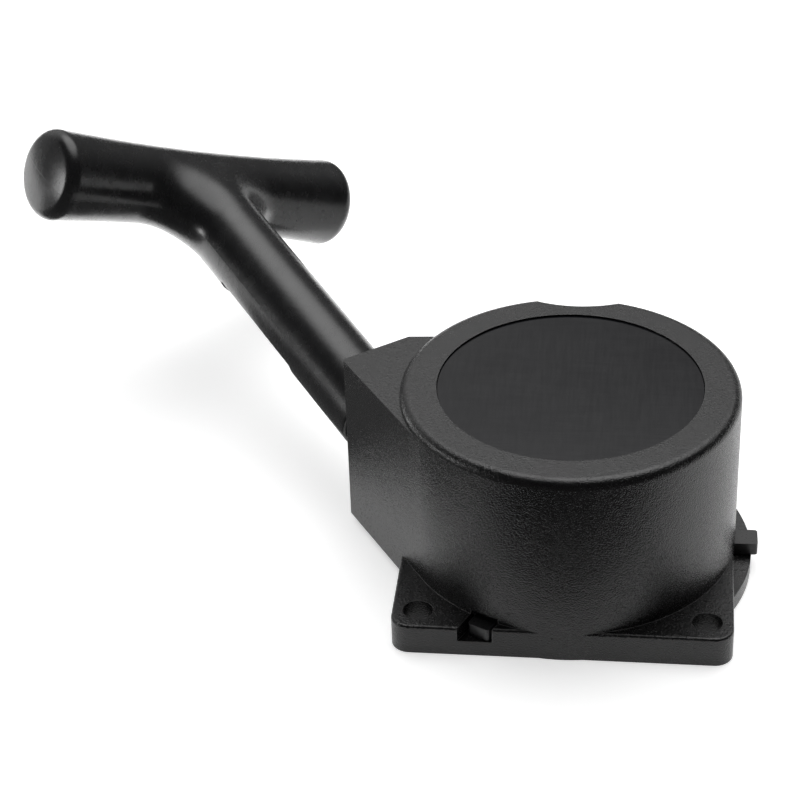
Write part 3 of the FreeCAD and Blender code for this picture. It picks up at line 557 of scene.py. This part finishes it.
def make_knot(name, node, body, centre, axis, looks, radius, cord_radius):
    """Overhand knot, pulled tight along an axis: a closed trefoil of the radius, in squeezed cord."""
    turn = axis.to_track_quat("Z", "Y").to_matrix()
    count = 180
    size = radius / 3.0      # the curve drawn below reaches 3 from its middle
    points = []
    for k in range(count):
        t = math.tau * k / count
        x = math.sin(t) + 2 * math.sin(2 * t)
        y = math.cos(t) - 2 * math.cos(2 * t)
        z = -1.6 * math.sin(3 * t)
        points.append(centre + turn @ (Vector((x, y, z)) * size))
    points.append(points[0].copy())
    lengths = [0.0]
    for one, two in zip(points, points[1:]):
        lengths.append(lengths[-1] + (two - one).length)
    knot = braided_tube(name, points, lengths, cord_radius, looks)
    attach(knot, body)
    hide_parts(node)


def make_windings(looks):
    """Two layers of three turns on the reel: up in the outer layer, down in the inner one."""
    low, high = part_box("cord_windings")
    outer = (high.x - low.x) / 2 - CORD_RADIUS
    inner = outer - 1.55 * MM      # the layers nest a little
    middle = (low.z + high.z) / 2
    rise = 2 * CORD_RADIUS
    turns = 3
    ring_gap = 0.45 * MM
    points, lengths = [], []
    for radius, first, last in ((outer, -rise, rise), (inner, rise, -rise)):
        count = int(turns * math.tau * radius / ring_gap)
        for k in range(count):
            share = k / count
            angle = share * turns * math.tau
            # the inner layer starts from the outer one and is down after an eighth of a turn
            step_down = min(1.0, share * turns * 8) if radius == inner else 1.0
            reach = radius + (outer - inner) * (1 - step_down)
            height = middle + first + (last - first) * share
            point = Vector((reach * math.cos(angle), -reach * math.sin(angle), height))
            lengths.append(lengths[-1] + (point - points[-1]).length if points else 0.0)
            points.append(point)
    coil = braided_tube("cord_coil", points, lengths, CORD_RADIUS, looks, sides=14)
    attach(coil, "reel")
    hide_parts("cord_windings")


def make_cord_run(looks):
    """The short stretch from the reel to the eyelet, inside the housing."""
    vertices = [v.co for v in frame["nodes"]["cord_run"].data.vertices]
    level = Vector((LINE.x, LINE.y, 0)).normalized()
    reach = [v.dot(level) for v in vertices]
    centre = sum(vertices, Vector()) / len(vertices)
    first, last = min(reach), max(reach)
    count = 40
    depths = [first + (last - first) * k / (count - 1) for k in range(count)]
    points = [centre + level * (depth - centre.dot(level)) for depth in depths]
    run = braided_tube("cord_inside", points, depths, CORD_RADIUS, looks)
    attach(run, "housing")
    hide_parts("cord_run")


def make_reel_knot(looks):
    """The small knot that holds the cord in the reel's pocket."""
    low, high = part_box("reel_knot")
    up = Vector((0, 0, 1))
    make_knot("reel_knot_tied", "reel_knot", "reel", (low + high) / 2, up, looks,
              radius=0.45 * MM, cord_radius=0.26 * MM)


# ---------------------------------------------------------------- floor, light and camera
WHITE = (1, 1, 1, 1)


def card_paper(name, glow):
    """Softly glowing white card."""
    look = Shader(name, Roughness=1.0, Emission_Color=WHITE, Emission_Strength=glow)
    fibres = look.noise(3 * MM, detail=3.0)
    look.set(Base_Color=look.blend(fibres, grey(0.82), grey(0.9)))
    return look.material


def floor_paper():
    """White paper lit to nearly full white; seen from below it lets the view through."""
    look = Shader("floor_paper", Roughness=0.9, Emission_Color=WHITE, Emission_Strength=0.58)
    fibres = look.noise(2 * MM, detail=4.0)
    look.set(Base_Color=look.blend(fibres, grey(0.86), grey(0.9)), Normal=look.bump(fibres, 0.02 * MM))
    below = look.add("ShaderNodeNewGeometry").outputs["Backfacing"]
    clear = look.add("ShaderNodeBsdfTransparent").outputs[0]
    mix = look.add("ShaderNodeMixShader", {0: below, 1: look.surface.outputs[0], 2: clear})
    look.feed(look.output.inputs["Surface"], mix.outputs[0])
    return look.material


def rectangle(name, edges, level, material):
    """Flat piece of the stage; its edges are left, front, right and back in metres."""
    left, front, right, back = edges
    mesh = bpy.data.meshes.new(name)
    outline = ((left, front), (right, front), (right, back), (left, back))
    mesh.from_pydata([(x, y, level) for x, y in outline], [], [(0, 1, 2, 3)])
    piece = link(name, mesh, material)
    return piece


FLOOR_HALF = 3.0            # half the floor's side
FLOOR_GAP = 0.02 * MM       # between the flange and the floor
CARD_GAP = 0.1 * MM         # between the floor and the first card, and from card to card
# cards under the floor that only reflections see, the upper ones first:
# name, (left, front, right, back) in mm, glow
CARDS = (
    ("card_under_handle", (-500, 37, -46, 500), 1.6),
    ("card_behind_handle", (-46, 50, -15, 500), 1.6),
    ("card_under_housing", (-33, -29, 500, 500), 0.45),
)


def make_floor():
    """The floor, which reflections don't see, and the cards that they see in its place."""
    level = cad_low.z - FLOOR_GAP
    floor = rectangle("floor", (-FLOOR_HALF, -FLOOR_HALF, FLOOR_HALF, FLOOR_HALF), level, floor_paper())
    floor.visible_glossy = False
    for layer, (name, edges, glow) in enumerate(CARDS, 1):
        edges = [edge * MM for edge in edges]
        card = rectangle(name, edges, level - CARD_GAP * layer, card_paper(name, glow))
        for flag in ("visible_camera", "visible_diffuse", "visible_shadow", "visible_transmission"):
            setattr(card, flag, False)


# The room's light by direction. PANEL points at the middle of the bright panel. Each ramp has two values of
# a direction's part towards something, and then the radiance, or the factor on it, at those two.
PANEL = (0.1, 0.35, 0.931)
PANEL_RAMP = (0.78, 0.97, 0.03, 3.0)     # towards the panel
BACK_RAMP = (0.1, 0.5, 0.0, 0.5)         # towards +Y
SIDE_RAMP = (-0.28, 0.12, 1.6, 0.35)     # factor on the back light, towards +X
RISE_RAMP = (0.05, 0.4, 0.3, 1.0)        # factor on the back light, upwards
LEFT_RAMP = (-0.98, -0.8, 0.16, 0.0)     # towards +X, at the far left
TABLE_RAMP = (-0.6, -0.1, 0.06, 0.14)    # towards +Y, below the horizon
HORIZON_RAMP = (-0.03, 0.01, 1.0, 0.0)   # the table's share, upwards


def make_world():
    """Studio surroundings: a bright panel overhead, a dark room at the horizon and a table below it."""
    world = bpy.data.worlds.new("studio")
    bpy.context.scene.world = world
    nodes = Nodes(world)

    def ramp(value, limits):
        return nodes.remap(value, *limits, interpolation="SMOOTHSTEP")

    def mixed(share, one, two):
        return nodes.add("ShaderNodeMix", {0: share, 2: one, 3: two}, data_type="FLOAT").outputs[0]

    direction = nodes.add("ShaderNodeTexCoord").outputs["Generated"]
    parts = nodes.add("ShaderNodeSeparateXYZ", {0: direction}).outputs
    panel = ramp(nodes.dot(direction, PANEL), PANEL_RAMP)
    back = nodes.maths("MULTIPLY", ramp(parts["Y"], BACK_RAMP), ramp(parts["X"], SIDE_RAMP))
    back = nodes.maths("MULTIPLY", back, ramp(parts["Z"], RISE_RAMP))
    left = ramp(parts["X"], LEFT_RAMP)
    above = nodes.maths("ADD", nodes.maths("ADD", panel, back), left)
    light = mixed(ramp(parts["Z"], HORIZON_RAMP), above, ramp(parts["Y"], TABLE_RAMP))
    # the camera sees plain white
    seen = mixed(nodes.add("ShaderNodeLightPath").outputs["Is Camera Ray"], light, 1.0)
    background = nodes.add("ShaderNodeBackground", {"Color": WHITE, "Strength": seen})
    nodes.add("ShaderNodeOutputWorld", {"Surface": background.outputs[0]})


def area_light(name, direction, distance, size, radiance):
    """Square softbox whose surface has the given radiance, aimed at the middle of the object."""
    data = bpy.data.lights.new(name, "AREA")
    data.shape = "SQUARE"
    data.size = size
    data.energy = radiance * math.pi * size * size
    lamp = bpy.data.objects.new(name, data)
    bpy.context.scene.collection.objects.link(lamp)
    direction = Vector(direction).normalized()
    lamp.location = (cad_low + cad_high) / 2 + direction * distance
    lamp.rotation_mode = "QUATERNION"
    lamp.rotation_quaternion = direction.to_track_quat("Z", "Y")


def make_camera():
    """Long lens from the front, 33 degrees above the table and rolled a little."""
    data = bpy.data.cameras.new("camera")
    data.sensor_width = 36.0
    data.lens = 110.15
    data.clip_start, data.clip_end = 0.01, 20.0
    camera = bpy.data.objects.new("camera", data)
    bpy.context.scene.collection.objects.link(camera)
    azimuth, elevation, roll = (math.radians(a) for a in (7.247, 33.348, -2.061))
    back = Vector((math.sin(azimuth) * math.cos(elevation), -math.cos(azimuth) * math.cos(elevation),
                   math.sin(elevation)))
    camera.location = (9.457 * MM, -217.871 * MM, 164.544 * MM)
    camera.rotation_mode = "QUATERNION"
    aim = (-back).to_track_quat("-Z", "Y").to_matrix()
    camera.rotation_quaternion = (aim @ Matrix.Rotation(roll, 3, "Z")).to_quaternion()
    bpy.context.scene.camera = camera


looks = make_materials()
finish_cad_nodes(looks)
make_handle(looks)
make_pull_cord(looks)
make_windings(looks)
make_cord_run(looks)
make_reel_knot(looks)
make_floor()
make_world()
area_light("softbox_left", direction=(-0.955, -0.24, 0.15), distance=0.5, size=0.12, radiance=9.0)
make_camera()
bpy.context.scene.view_settings.view_transform = "Standard"
